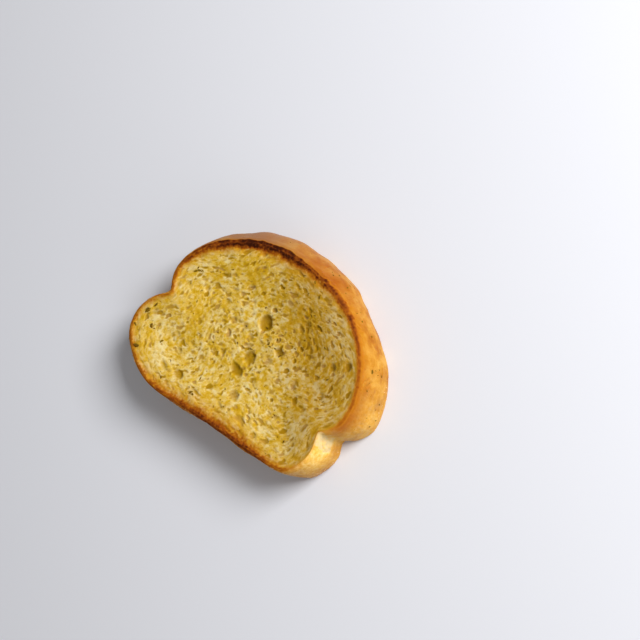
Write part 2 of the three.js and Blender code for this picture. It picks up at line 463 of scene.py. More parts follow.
def browned(distance, angle, width_share, fade_from, glow_share, ragged_edge, speckle):
    """Browning from 0 to 1 at a distance from the rim."""
    width = np.interp(angle, brown_angle, brown_width, period=360)
    width = width * width_share * np.clip(1 + 0.2 * ragged_edge, 0.4, 2)
    most = np.interp(angle, brown_angle, brown_depth, period=360)
    fade = width_share * np.interp(angle, brown_angle, brown_glow, period=360)
    band = most * (1 - ease(distance / width, fade_from, 1.4)) * (0.85 + 0.15 * ease(distance, 0, 1))
    glow = glow_share * most * np.exp(-np.maximum(distance - 0.8 * width, 0) / fade)
    return np.clip(np.maximum(band, glow) * (1 + 0.22 * speckle), 0, 1)


# Strands are the walls left standing between cells, the fibres of the grain and the cells' lips; the
# pale ring on each lip is a painted highlight, for thin walls that catch the light.
foam = foam_drop + sponge_drop + 0.5 * fine_drop
cell_walls = even_out(blurred(foam, 0.16) - blurred(foam, 1.2))
# How deep each point lies in a cell. The crumb's colour darkens with it, partly for butter pooled
# there and partly as painted shade in the recess.
wide_hollow = 1 - np.exp(np.minimum(blurred(wide_drop, WIDE_LIP), 0))
small_hollow = np.clip(-blurred(sponge_drop, 0.17), 0, 0.9)
hollow = np.clip(wide_hollow + small_hollow, 0, 1) * ease(inside, *BARE_RIM)
# Painted highlight: a pale ring round each hollow.
lit_lips = blurred(hollow, 0.35) * (1 - hollow)
strand = (0.7 - 0.1 * soaked) * cell_walls + (0.35 + 0.4 * soaked) * fibres + 4 * lit_lips
strand += (0.4 + 0.5 * soaked) * coarse_fibres
dryness = blurred(np.where(wide_drop < -0.3, wide_dryness, sponge_dryness), 0.25)
face_speckle = 0.6 * face_mottle(0.3) + 0.4 * face_mottle(0.8)
# On the right the brown lies over the rim on the crust, elsewhere mostly inside it on the crumb.
face_right = np.exp(-(((np.degrees(flat_angle) - 20) / 40) ** 4))
wall_right = facing(20, 40, power=4)
face_ragged, wall_ragged = face_mottle(1.6), wall_mottle(1.6)
face_toast = browned(
    distance=inside,
    angle=np.degrees(flat_angle),
    width_share=0.9 - 0.5 * face_right,
    fade_from=0.3,
    glow_share=0.66,
    ragged_edge=face_ragged,
    speckle=face_speckle,
)
wall_toast = browned(
    distance=np.hypot(wall_reach - rim[:, None], wall_down),
    angle=wall_turn,
    width_share=0.55 + 2.3 * wall_right,
    fade_from=0.9 - 0.7 * wall_right,
    glow_share=0.1 + 0.5 * wall_right,
    ragged_edge=0.6 * wall_ragged,
    speckle=0.45 * wall_mottle(0.5) + 0.3 * wall_mottle(1.2),
)

# Butter pooled and soaked in: x, y, half width and strength of each patch.
BUTTER_POOLS = [
    (-26, 32, 6, 0.8),
    (-17, 27, 6, 0.8),
    (-17, 36, 5, 0.5),
    (-35, 20, 6, 0.5),
    (16, 20, 7, 1.0),
    (27, 12, 7, 1.0),
    (-39, -9, 6, 0.7),
    (-36, 6, 6, 0.6),
    (-28, 10, 5, 0.6),
    (-2, -16, 5, 0.8),
    (32, -21, 8, 0.7),
    (-12, -20, 4, 0.6),
    (1, 24, 7, 0.5),
    (44, 0, 7, 0.4),
    (10, 4, 7, 0.5),
    (-41, -36, 5, -0.6),
    (-47, -30, 6, -0.5),
    (-17, -30, 7, -0.6),
    (44, -41, 5, -0.45),
    (35, 30, 7, -0.2),
    (17, -30, 7, -0.4),
    (-8, 4, 5, -0.4),
    (-58, -22, 6, -0.2),
]
EVENLY_SOAKED, POOL_GAIN = 0.42, 0.3
butter = EVENLY_SOAKED + 0.06 * face_mottle(3.0) + 0.12 * strands(0.6, 1.2, 2.5)
butter += 0.08 * face_mottle(0.9) + 0.05 * face_mottle(0.45)
for x, y, half_width, strength in BUTTER_POOLS:
    away = ((flat_x - x) ** 2 + (flat_y - y) ** 2) / half_width**2
    butter += POOL_GAIN * strength * np.exp(-away)

# ---------------------------------------------------------------------------------------------
# THE SLICE'S MESH
# One closed skin: the crumb face on a square net pressed to the outline, the crust wall on rings,
# and the cut underside on a coarser net, resting flat.
FACE_NET = SPOKES // 4  # squares a side, so that its border has a point for every spoke
UNDER_NET = SPOKES // 8
UNDER_INSET = 0.9  # the cut underside's edge lies this far inside the crust's foot


def round_net(net):
    """A square net's points as share of the way out and angle, squares staying nearly square."""
    side = np.linspace(-1, 1, net + 1)
    across, up = np.meshgrid(side, side)
    wide = np.abs(across) > np.abs(up)
    share = np.maximum(np.abs(across), np.abs(up))
    safe_across = np.where(across == 0, 1, across)
    safe_up = np.where(up == 0, 1, up)
    angle = np.where(
        wide,
        np.pi / 4 * (up / safe_across) + np.where(across < 0, np.pi, 0),
        np.pi / 2 - np.pi / 4 * (across / safe_up) + np.where(up < 0, np.pi, 0),
    )
    return share.ravel(), np.mod(angle, FULL_TURN).ravel()


def border(net):
    """The net's outer points in order of angle, starting on +X."""
    row = np.arange(net + 1)
    right = row * (net + 1) + net
    top = net * (net + 1) + row[::-1]
    left = row[::-1] * (net + 1)
    loop = np.concatenate([right[:-1], top[:-1], left[:-1], row[:-1]])
    return np.roll(loop, -(net // 2))


def net_quads(net):
    """The net's squares, facing up."""
    i, j = np.meshgrid(np.arange(net), np.arange(net), indexing="ij")
    low = (i * (net + 1) + j).ravel()
    return np.stack([low, low + 1, low + net + 2, low + net + 1], 1)


def sleeve_quads(upper, lower):
    """The quads between two rings of points, facing out."""
    return np.stack([upper, lower, np.roll(lower, -1), np.roll(upper, -1)], 1)


face_share, face_angle = round_net(FACE_NET)
face_radius = face_share * np.interp(face_angle, turn, rim, period=FULL_TURN)
face_x, face_y = face_radius * np.cos(face_angle), face_radius * np.sin(face_angle)
face_crest = np.interp(face_angle, turn, crest[:, 0], period=FULL_TURN)
face_crest = face_crest * ease(face_share, 0.94, 1)
face_z = THICKNESS + sample(face_relief, face_x, face_y) + face_crest
face_points = np.stack([face_x, face_y, face_z], 1)

wall_points = np.stack(
    [wall_radius * np.cos(turn)[:, None], wall_radius * np.sin(turn)[:, None], wall_height], -1
)[:, 1:]  # the face net's border is the first ring

under_share, under_angle = round_net(UNDER_NET)
under_reach = soften(wall_radius[:, -1:], 4, NO_BLUR)[:, 0] - UNDER_INSET
under_radius = under_share * np.interp(under_angle, turn, under_reach, period=FULL_TURN)
under_x, under_y = under_radius * np.cos(under_angle), under_radius * np.sin(under_angle)
under_inside = distance_to_edge(under_reach)
under_cells = gas_cells(under_inside, 6000, 0.6, 0.45, 2.2, 0.6, 1.6)
under_drop, under_dryness = bite(under_cells, bend=0.2, bend_size=1.0)
under_relief = -blurred(under_drop, 0.2) * ease(under_inside, 0.8, 2.0)
under_z = sample(under_relief, under_x, under_y)
under_points = np.stack([under_x, under_y, under_z], 1)

points = np.concatenate([face_points, wall_points.transpose(1, 0, 2).reshape(-1, 3), under_points])
wall_first = len(face_points)
under_first = wall_first + WALL_STEPS * SPOKES
ring_index = [border(FACE_NET)]
ring_index += [wall_first + step * SPOKES + np.arange(SPOKES) for step in range(WALL_STEPS)]
wall_quads = [sleeve_quads(upper, lower) for upper, lower in zip(ring_index[:-1], ring_index[1:])]
under_quads = under_first + net_quads(UNDER_NET)[:, ::-1]
quads = np.concatenate([net_quads(FACE_NET), *wall_quads, under_quads])

# The underside's net has half as many points round it as the crust.
even, odd = ring_index[-1][0::2], ring_index[-1][1::2]
even_after = np.roll(even, -1)
inner = under_first + border(UNDER_NET)
inner_after = np.roll(inner, -1)
triangles = np.concatenate(
    [
        np.stack([even, inner, odd], 1),
        np.stack([odd, inner, inner_after], 1),
        np.stack([odd, inner_after, even_after], 1),
    ]
)


def mesh_piece(name, points, quads, triangles):
    """A smooth mesh object from points in millimetres."""
    mesh = bpy.data.meshes.new(name)
    mesh.vertices.add(len(points))
    mesh.vertices.foreach_set("co", (points * MM).astype(np.float32).ravel())
    corners = np.concatenate([quads.ravel(), triangles.ravel()]).astype(np.int32)
    mesh.loops.add(len(corners))
    mesh.loops.foreach_set("vertex_index", corners)
    sizes = np.concatenate([np.full(len(quads), 4), np.full(len(triangles), 3)])
    starts = np.concatenate([[0], np.cumsum(sizes)[:-1]]).astype(np.int32)
    mesh.polygons.add(len(sizes))
    mesh.polygons.foreach_set("loop_start", starts)
    mesh.polygons.foreach_set("use_smooth", np.ones(len(sizes), bool))
    mesh.update(calc_edges=True)
    piece = bpy.data.objects.new(name, mesh)
    bpy.context.scene.collection.objects.link(piece)
    return piece


bread = mesh_piece("bread", points, quads, triangles)

# Its flat map, for paint baked from the material: the face, the crust in three strips, and the
# underside turned by a quarter and drawn smaller.
MAP_EDGE, FACE_SCALE, FACE_BOTTOM = 0.01, 0.0049, 0.47
STRIP_LENGTH, STRIP_HEIGHT, STRIP_BOTTOMS = 0.69, 0.122, (0.33, 0.17, 0.02)
UNDER_SCALE, UNDER_LEFT, UNDER_BOTTOM = 0.0026, 0.72, 0.61
box_corner = np.array([cad_low.x, cad_low.y]) / MM
face_corners = points[net_quads(FACE_NET).ravel(), :2] - box_corner
face_map = (MAP_EDGE, FACE_BOTTOM) + face_corners * FACE_SCALE
strip_spokes = -(-SPOKES // len(STRIP_BOTTOMS))
spoke, step = np.meshgrid(np.arange(SPOKES), np.arange(WALL_STEPS))
strip = spoke // strip_spokes
along_strip = np.stack([spoke, spoke, spoke + 1, spoke + 1], -1) - (strip * strip_spokes)[..., None]
down_strip = np.stack([step, step + 1, step + 1, step], -1) / WALL_STEPS
wall_map = np.stack(
    [
        MAP_EDGE + along_strip * STRIP_LENGTH / strip_spokes,
        np.array(STRIP_BOTTOMS)[strip][..., None] + STRIP_HEIGHT * (1 - down_strip),
    ],
    -1,
).reshape(-1, 2)
under_corners = points[np.concatenate([under_quads.ravel(), triangles.ravel()]), :2] - box_corner
under_map = (UNDER_LEFT, UNDER_BOTTOM) + under_corners[:, ::-1] * UNDER_SCALE
bake_map = bread.data.uv_layers.new(name="OFBake")
flat_map = np.concatenate([face_map, wall_map, under_map]).astype(np.float32)
bake_map.data.foreach_set("uv", flat_map.ravel())


def near_rim(reach):
    """1 at the rim, fading to 0 beyond that many millimetres down the crust."""
    return np.exp(-((wall_down / reach) ** 2))


# The crust is pinkish-brown on top of the dome, tanned below the rim on the right and pale on the
# right lobe. Its right shoulder is darker, painted shade where that wall takes less light, and the
# right wall below the tan is lighter, painted light where it takes more.
pinkish_top = facing(122, 29)
right_rim = facing(20, 42, power=4) * near_rim(3.2)
below_rim = facing(-5, 17, power=4) * near_rim(6.5)
# Painted shade: the right shoulder darkens towards the tanned colour, where that wall takes less
# light.
painted_shade_shoulder = facing(62, 28) * near_rim(12)
tan = np.maximum(np.maximum(0.85 * painted_shade_shoulder, right_rim), 0.85 * below_rim)
lobe = np.exp(-((degrees_from(-32) / 12) ** 2) - (np.maximum(wall_down - 4, 0) / 11) ** 2)
# Painted light: the right wall below the tanned band is lightened towards the lobe's yellow, where it
# takes more light.
lobe = np.maximum(lobe, 0.4 * facing(-10, 16) * (1 - below_rim))

STRAND_LIMIT = 2.5  # strands count up to this, either way
UNDER_DEEP = 1.5  # a hollow this deep in the underside counts in full
# What the material reads by name at each point: its value on the face, the wall and the underside.
MASKS = {
    "hollow": (hollow, 0, np.clip(under_z / UNDER_DEEP, 0, 1)),
    "dry": (dryness, 0.8, sample(under_dryness, under_x, under_y)),
    "strand": (np.clip(strand, -STRAND_LIMIT, STRAND_LIMIT), 0, 0),
    "butter": (butter, 0, 0.1),
    "soaked": (soaked, 0, 0),
    "toast": (face_toast, wall_toast, 0.1),
    "crust": (1 - ease(inside, 0.1, 0.9), 1 - torn, 0),
    "torn": (0, torn, 0),
    "pink": (0, pinkish_top, 0),
    "tan": (0, tan, 0),
    "tin": (0, tin_side, 0),
    "lobe": (0, lobe, 0),
    "low": (0, low_edge, 1),
}
for name, (face, wall, under) in MASKS.items():
    face = sample(np.broadcast_to(face, cup.shape), face_x, face_y)
    wall = np.broadcast_to(wall, wall_shape)[:, 1:].T.ravel()
    under = np.broadcast_to(under, under_z.shape)
    painted = np.concatenate([face, wall, under]).astype(np.float32)
    bread.data.attributes.new(name, "FLOAT", "POINT").data.foreach_set("value", painted)

# ---------------------------------------------------------------------------------------------
# BUTTERED CRUMB AND GOLDEN CRUST
# Wheat crumb is a pale sponge: melted butter turns it deep yellow and lets light into it. The
# crust is starch and sugar baked to a thin golden skin with a faint oily shine, browner at the rim.


def linear(sheet_colour):
    """A colour written as on a paint sheet, in the light that it sends back."""
    channels = [(sheet_colour >> shift & 255) / 255 for shift in (16, 8, 0)]
    return (*[c / 12.92 if c <= 0.04045 else ((c + 0.055) / 1.055) ** 2.4 for c in channels], 1.0)


def add(tree, kind, settings=None, links=None):
    """A new node with its settings, and links from other nodes' outputs to its inputs."""
    made = tree.nodes.new(kind)
    for name, value in (settings or {}).items():
        if name == "stops":
            ramp = made.color_ramp.elements
            while len(ramp) < len(value):
                ramp.new(1.0)
            for stop, (place, colour) in zip(ramp, value):
                stop.position, stop.color = place, colour
        elif isinstance(name, int) or name in made.inputs:
            made.inputs[name].default_value = value
        else:
            setattr(made, name, value)
    for name, source in (links or {}).items():
        tree.links.new(source, made.inputs[name])
    return made


def grain_scale(millimetres):
    """The noise scale whose lumps are about that wide."""
    return 1 / (millimetres * MM)


def empty_material(name):
    """A new material and its node tree, with nothing in it."""
    material = bpy.data.materials.new(name)
    material.use_nodes = True
    material.node_tree.nodes.clear()
    return material, material.node_tree


toasted_bread, tree = empty_material("buttered_crumb_and_golden_crust")
MIX_A, MIX_B, MIXED = 6, 7, 2  # a Mix node's two colours in, and its colour out
NUMBER_A, NUMBER_B = 2, 3  # and its two numbers in
mask = {
    name: add(tree, "ShaderNodeAttribute", {"attribute_name": name}).outputs["Fac"]
    for name in MASKS
}
place = add(tree, "ShaderNodeTexCoord").outputs["Object"]

# Crumb: cream where dry, through yellow flesh, to deep yellow where butter soaked in; its raised
# strands are paler, and its hollows darker ochre, or pinkish where no butter reached, partly butter
# pooled in them and partly painted shade in the recesses.
crumb_grain = add(
    tree,
    "ShaderNodeTexNoise",
    {"Scale": grain_scale(0.6), "Detail": 3.0, "Roughness": 0.65},
    {"Vector": place},
)
grainy = add(
    tree,
    "ShaderNodeMapRange",
    {"From Min": 0.3, "From Max": 0.7, "To Min": 0.18, "To Max": -0.18},
    {"Value": crumb_grain.outputs["Fac"]},
)
less_on_strands = add(
    tree,
    "ShaderNodeMapRange",
    {"From Min": -STRAND_LIMIT, "From Max": STRAND_LIMIT, "To Min": 0.31, "To Max": -0.31},
    {"Value": mask["strand"]},
)
buttered = add(
    tree, "ShaderNodeMath", {"operation": "ADD"}, {0: mask["butter"], 1: grainy.outputs[0]}
)
yellowness = add(
    tree,
    "ShaderNodeMath",
    {"operation": "ADD", "use_clamp": True},
    {0: buttered.outputs[0], 1: less_on_strands.outputs[0]},
)
flesh = add(
    tree,
    "ShaderNodeValToRGB",
    {
        "stops": [
            (0.0, linear(0xE0CE94)),
            (0.3, linear(0xD9BC64)),
            (0.6, linear(0xD0AA2E)),
            (1.0, linear(0xC09608)),
        ]
    },
    {0: yellowness.outputs[0]},
)
# Hollow tones: butter-soaked ochre or dry pink, darkened as painted shade for the recesses.
hollow_shade_tone = add(
    tree,
    "ShaderNodeValToRGB",
    {"stops": [(0.05, linear(0xA27C06)), (0.4, linear(0xAC8612)), (0.9, linear(0xB8944E))]},
    {0: mask["dry"]},
)
hollow_share = add(
    tree,
    "ShaderNodeMapRange",
    {"From Min": 0.08, "From Max": 0.9, "To Min": 0.0, "To Max": 0.95},
    {"Value": mask["hollow"]},
)
crumb = add(
    tree,
    "ShaderNodeMix",
    {"data_type": "RGBA"},
    {0: hollow_share.outputs[0], MIX_A: flesh.outputs["Color"], MIX_B: hollow_shade_tone.outputs["Color"]},
)
# Darker on the right: partly butter soaked in, partly painted shade where the cupped face turns from
# the light.
shaded_soaked_crumb = add(
    tree,
    "ShaderNodeMix",
    {"data_type": "RGBA", "blend_type": "MULTIPLY", MIX_B: linear(0xE4DACE)},
    {0: mask["soaked"], MIX_A: crumb.outputs[MIXED]},
)
bare_crumb = add(
    tree,
    "ShaderNodeMix",
    {"data_type": "RGBA", MIX_B: linear(0xD6BE8A)},
    {0: mask["torn"], MIX_A: shaded_soaked_crumb.outputs[MIXED]},
)

# Crust: golden orange, mottled paler and redder; pinkish-brown on top of the dome, brown where it
# lay on the tin, yellow on the lobe, and a little paler at the knife's lower edge. Below the right
# rim it is tanned dark orange; the same colour on the right shoulder is painted shade, and the
# lobe's yellow on the right wall below the tan is painted light.
cloud = add(
    tree,
    "ShaderNodeTexNoise",
    {"Scale": grain_scale(9.0), "Detail": 6.0, "Roughness": 0.62},
    {"Vector": place},
)
crust_tone = add(
    tree,
    "ShaderNodeValToRGB",
    {"stops": [(0.37, linear(0xA05E10)), (0.5, linear(0xB87C20)), (0.63, linear(0xC8963E))]},
    {0: cloud.outputs["Fac"]},
)
# Dark orange tan below the right rim, and painted shade on the right shoulder.
tanned_and_shaded = add(
    tree,
    "ShaderNodeMix",
    {"data_type": "RGBA", MIX_B: linear(0x9C5004)},
    {0: mask["tan"], MIX_A: crust_tone.outputs["Color"]},
)
blotches = add(
    tree,
    "ShaderNodeTexNoise",
    {"Scale": grain_scale(2.2), "Detail": 5.0, "Roughness": 0.65},
    {"Vector": place},
)
lobe_tone = add(
    tree,
    "ShaderNodeValToRGB",
    {"stops": [(0.3, linear(0xE4A434)), (0.5, linear(0xF0C462)), (0.7, linear(0xF2D898))]},
    {0: blotches.outputs["Fac"]},
)
# The lobe's yellow, and painted light on the right wall below the tanned band.
on_the_lobe = add(
    tree,
    "ShaderNodeMix",
    {"data_type": "RGBA"},
    {0: mask["lobe"], MIX_A: tanned_and_shaded.outputs[MIXED], MIX_B: lobe_tone.outputs["Color"]},
)
on_the_dome = add(
    tree,
    "ShaderNodeMix",
    {"data_type": "RGBA", MIX_B: linear(0x966640)},
    {0: mask["pink"], MIX_A: on_the_lobe.outputs[MIXED]},
)
tin_tone = add(
    tree,
    "ShaderNodeValToRGB",
    {"stops": [(0.36, linear(0x8E5A26)), (0.5, linear(0xAA7032)), (0.64, linear(0xC0904C))]},
    {0: blotches.outputs["Fac"]},
)
on_the_tin = add(
    tree,
    "ShaderNodeMix",
    {"data_type": "RGBA"},
    {0: mask["tin"], MIX_A: on_the_dome.outputs[MIXED], MIX_B: tin_tone.outputs["Color"]},
)
low_share = add(tree, "ShaderNodeMath", {"operation": "MULTIPLY", 1: 0.5}, {0: mask["low"]})
at_the_edge = add(
    tree,
    "ShaderNodeMix",
    {"data_type": "RGBA", MIX_B: linear(0xD8A070)},
    {0: low_share.outputs[0], MIX_A: on_the_tin.outputs[MIXED]},
)
bread_colour = add(
    tree,
    "ShaderNodeMix",
    {"data_type": "RGBA"},
    {0: mask["crust"], MIX_A: bare_crumb.outputs[MIXED], MIX_B: at_the_edge.outputs[MIXED]},
)

# Browning over both: golden, orange-brown, brown, nearly black.
browning = add(
    tree,
    "ShaderNodeValToRGB",
    {
        "stops": [
            (0.0, linear(0xD09A30)),
            (0.3, linear(0xB87812)),
            (0.55, linear(0x96500C)),
            (0.78, linear(0x6A2E08)),
            (1.0, linear(0x3A1404)),
        ]
    },
    {0: mask["toast"]},
)
brown_from = add(tree, "ShaderNodeMath", {"operation": "MULTIPLY", 1: 0.12}, {0: mask["crust"]})
brown_share = add(
    tree,
    "ShaderNodeMapRange",
    {"From Max": 0.42, "To Min": 0.0, "To Max": 1.0},
    {"Value": mask["toast"], "From Min": brown_from.outputs[0]},
)
toasted = add(
    tree,
    "ShaderNodeMix",
    {"data_type": "RGBA"},
    {0: brown_share.outputs[0], MIX_A: bread_colour.outputs[MIXED], MIX_B: browning.outputs["Color"]},
)

# The sponge is dull, smoother where butter lies, and the crust is smoother where it isn't browned.
dullness = add(
    tree,
    "ShaderNodeMapRange",
    {"From Min": 0.1, "From Max": 1.0, "To Min": 0.65, "To Max": 0.42},
    {"Value": mask["butter"]},
)
crust_dullness = add(
    tree,
    "ShaderNodeMapRange",
    {"From Min": 0.05, "From Max": 0.5, "To Min": 0.42, "To Max": 0.8},
    {"Value": mask["toast"]},
)
shine = add(
    tree,
    "ShaderNodeMix",
    {"data_type": "FLOAT"},
    {0: mask["crust"], NUMBER_A: dullness.outputs[0], NUMBER_B: crust_dullness.outputs[0]},
)

# Fine open cells and dry flour send back far less shine than a solid would, and light goes some
# way into the wet sponge, blue the least.
crumb_tooth = add(
    tree,
    "ShaderNodeTexNoise",
    {"Scale": grain_scale(0.4), "Detail": 3.0, "Roughness": 0.6},
    {"Vector": place},
)
tooth = add(
    tree,
    "ShaderNodeBump",
    {"Strength": 0.7, "Distance": 0.1 * MM},
    {"Height": crumb_tooth.outputs["Fac"]},
)
surface = add(
    tree,
    "ShaderNodeBsdfPrincipled",
    {
        "IOR": 1.46,
        "Specular IOR Level": 0.08,
        "Subsurface Weight": 0.85,
        "Subsurface Radius": (1.0, 0.95, 0.55),
        "Subsurface Scale": 1.8 * MM,
    },
    {
        "Base Color": toasted.outputs[MIXED],
        "Roughness": shine.outputs[0],
        "Normal": tooth.outputs[0],
    },
)
add(tree, "ShaderNodeOutputMaterial", {}, {"Surface": surface.outputs[0]})
bread.data.materials.append(toasted_bread)
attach(bread, "root")
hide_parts("slice")

# ---------------------------------------------------------------------------------------------
# THE HERB FLAKES
# Dried parsley and oregano, strewn into the butter: thin curled strips of leaf, dark from the
# grill. Most lie on the crumb, a few stuck to the crust where it was buttered too.
FLAKES_ON_CRUMB, FLAKES_ON_CRUST = 74, 26  # the larger ones below with them
SUNK, STUCK = 0.06, 0.1  # how deep one sits in the butter, and in the crust
STREWN_X, STREWN_Y = 66, 48  # herbs fall within this far of the middle
FLAKE_THICK = 0.07
FLAKE_RINGS = 7
# Round a flake, as shares of its half width and its thickness.
FLAKE_SIDES = np.array([(-1, 0), (-0.6, 1), (0.6, 1), (1, 0), (0.6, -1), (-0.6, -1)])

# The larger ones on the crumb: x, y, length, width, heading in degrees.
FLAKE_PLACES = [
    (-49.5, 13.2, 2.6, 0.8, 40),
    (-47.6, 14.7, 3.0, 0.7, 5),
    (-49.0, 15.5, 1.6, 0.7, 80),
    (-46.1, 15.2, 2.0, 0.5, -30),
    (-63.9, -17.1, 4.0, 2.0, 60),
    (-60.9, -12.6, 3.2, 1.0, 66),
    (-58.5, -23.4, 2.6, 1.6, 100),
    (-66.6, -27.0, 2.2, 1.0, -35),
    (-60.2, -36.4, 3.6, 1.7, 14),
    (-19.2, -41.2, 2.4, 1.1, 50),
    (-17.6, -41.7, 1.6, 0.8, -20),
    (-2.0, -6.5, 2.2, 0.8, 20),
    (5.8, 0.6, 2.0, 0.8, 75),
    (7.0, -0.3, 1.5, 0.6, 10),
    (4.5, 1.7, 1.6, 0.5, -40),
    (13.8, -1.9, 2.0, 0.8, 60),
    (20.8, 24.1, 2.4, 0.5, -35),
    (22.4, 25.2, 1.4, 0.4, 10),
    (-23.1, -13.9, 1.6, 0.6, 15),
    (-49.6, -27.7, 2.4, 1.1, 62),
    (8.2, 39.9, 1.8, 0.5, 25),
    (22.3, -22.5, 2.2, 0.5, -60),
    (-30.7, 23.7, 1.8, 0.4, 35),
    (35.5, 13.8, 2.0, 0.6, -10),
]
# And on the crust: angle, mm down, length, width, heading in degrees.
CRUST_FLAKE_PLACES = [
    (68.0, 6.3, 1.2, 0.8, 20),
    (67.5, 10.9, 1.3, 0.9, 70),
    (58.5, 9.6, 1.5, 0.9, 70),
    (59.5, 12.8, 1.3, 0.8, -30),
    (55.0, 6.4, 0.9, 0.6, 0),
    (37.8, 8.0, 1.3, 0.9, 60),
    (30.3, 11.5, 1.2, 0.9, 40),
    (14.0, 7.2, 2.3, 1.2, 0),
    (13.0, 14.5, 1.3, 0.8, 10),
    (5.5, 5.2, 1.0, 0.7, -50),
    (1.5, 17.0, 1.1, 0.8, 40),
    (-5.0, 18.5, 1.3, 0.7, 70),
    (-8.0, 15.5, 1.2, 0.7, 40),
]
rest_height = blurred(face_relief, 0.25)


def crumb_spot(clear_of_rim):
    """A random x and y on the crumb, at least that far inside the rim."""
    while True:
        x, y = chance.uniform(-STREWN_X, STREWN_X), chance.uniform(-STREWN_Y, STREWN_Y)
        if sample(inside, np.array([x]), np.array([y]))[0] > clear_of_rim:
            return x, y


def on_face(place):
    """The points of the crumb at x and y, raised by a height."""
    x, y, lift = place.T
    return np.stack([x, y, THICKNESS + sample(rest_height, x, y) + lift], 1)


def on_crust(place):
    """The points of the crust at an angle round it and a depth, raised by a height."""
    around, down, lift = place.T
    spokes = np.rint(around / FULL_TURN * SPOKES).astype(int) % SPOKES
    levels = THICKNESS - wall_level
    reach = np.array([np.interp(d, levels, wall_radius[n]) for d, n in zip(down, spokes)]) + lift
    return np.stack([reach * np.cos(around), reach * np.sin(around), THICKNESS - down], 1)


def flake(length, width):
    """A curled strip of leaf about the origin: points along, across and up, quads, triangles."""
    along = np.linspace(-0.9, 0.9, FLAKE_RINGS)
    half = 0.5 * width * (1 - np.abs(along) ** 2.5) * chance.uniform(0.7, 1.3, FLAKE_RINGS)
    bow = chance.uniform(-0.2, 0.2) * length
    lifted = 0.15 + chance.uniform(0.0, 0.25) * along**2
    ring = np.arange(FLAKE_RINGS).repeat(len(FLAKE_SIDES))
    side = np.tile(FLAKE_SIDES, (FLAKE_RINGS, 1))
    x = 0.5 * length * along[ring]
    y = bow * along[ring] ** 2 + half[ring] * side[:, 0]
    z = lifted[ring] + FLAKE_THICK * side[:, 1]
    tips = [(-0.5 * length, bow, lifted[0]), (0.5 * length, bow, lifted[-1])]
    points = np.concatenate([np.stack([x, y, z], 1), tips])
    sides = len(FLAKE_SIDES)
    here = np.arange(sides)
    after = np.roll(here, -1)
    firsts = sides * np.arange(FLAKE_RINGS)
    quads = [
        np.stack([first + here, first + after, first + sides + after, first + sides + here], 1)
        for first in firsts[:-1]
    ]
    tip = np.full(sides, FLAKE_RINGS * sides)
    ends = [
        np.stack([tip, after, here], 1),
        np.stack([tip + 1, firsts[-1] + here, firsts[-1] + after], 1),
    ]
    return points, np.concatenate(quads), np.concatenate(ends)


def turned(points, heading):
    """Points turned about the upright axis."""
    c, s = np.cos(heading), np.sin(heading)
    x, y, z = points.T
    return np.stack([x * c - y * s, x * s + y * c, z], 1)


def gathered(name, parts):
    """One piece from many small meshes."""
    firsts = np.cumsum([0] + [len(points) for points, _, _ in parts])
    points = np.concatenate([points for points, _, _ in parts])
    quads = np.concatenate([quads + first for (_, quads, _), first in zip(parts, firsts)])
    triangles = np.concatenate([triangles + first for (_, _, triangles), first in zip(parts, firsts)])
    return mesh_piece(name, points, quads, triangles)


flakes = []
face_spots = [(*spot[:4], np.radians(spot[4])) for spot in FLAKE_PLACES]
while len(face_spots) < FLAKES_ON_CRUMB:
    x, y = crumb_spot(clear_of_rim=3)
    length = 0.7 + chance.gamma(2.0, 0.3)
    width = length * chance.uniform(0.2, 0.45)
    face_spots.append((x, y, length, width, chance.uniform(0, np.pi)))
for x, y, length, width, heading in face_spots:
    made, made_quads, made_triangles = flake(length, width)
    made = turned(made, heading) + (x, y, -SUNK)
    flakes.append((on_face(made), made_quads, made_triangles))
crust_spots = [(*spot[:4], np.radians(spot[4])) for spot in CRUST_FLAKE_PLACES]
while len(crust_spots) < FLAKES_ON_CRUST:
    length = chance.uniform(0.6, 1.3)
    angle, down = chance.uniform(-20, 150), chance.uniform(3, 20)
    crust_spots.append((angle, down, length, 0.45 * length, chance.uniform(0, np.pi)))
mid_reach = wall_radius[:, WALL_STEPS // 2]
for angle, down, length, width, heading in crust_spots:
    made, made_quads, made_triangles = flake(length, width)
    made = turned(made, heading)
    reach = np.interp(np.radians(angle % 360), turn, mid_reach, period=FULL_TURN)
    made[:, 0] = np.radians(angle) + made[:, 0] / reach
    made[:, 1] += down
    made[:, 2] -= STUCK
    flakes.append((on_crust(made), made_quads[:, ::-1], made_triangles[:, ::-1]))
herb_flakes = gathered("herb_flakes", flakes)

dried_herb, tree = empty_material("dried_toasted_herb")
place = add(tree, "ShaderNodeTexCoord").outputs["Object"]
leaf = add(
    tree, "ShaderNodeTexNoise", {"Scale": grain_scale(1.2), "Detail": 4.0}, {"Vector": place}
)
leaf_tone = add(
    tree,
    "ShaderNodeValToRGB",
    {"stops": [(0.35, linear(0x5A3A0C)), (0.52, linear(0x74560E)), (0.68, linear(0x907A20))]},
    {0: leaf.outputs["Fac"]},
)
surface = add(
    tree,
    "ShaderNodeBsdfPrincipled",
    {"Roughness": 0.7, "IOR": 1.45, "Specular IOR Level": 0.08},
    {"Base Color": leaf_tone.outputs["Color"]},
)
add(tree, "ShaderNodeOutputMaterial", {}, {"Surface": surface.outputs[0]})
herb_flakes.data.materials.append(dried_herb)
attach(herb_flakes, "root")

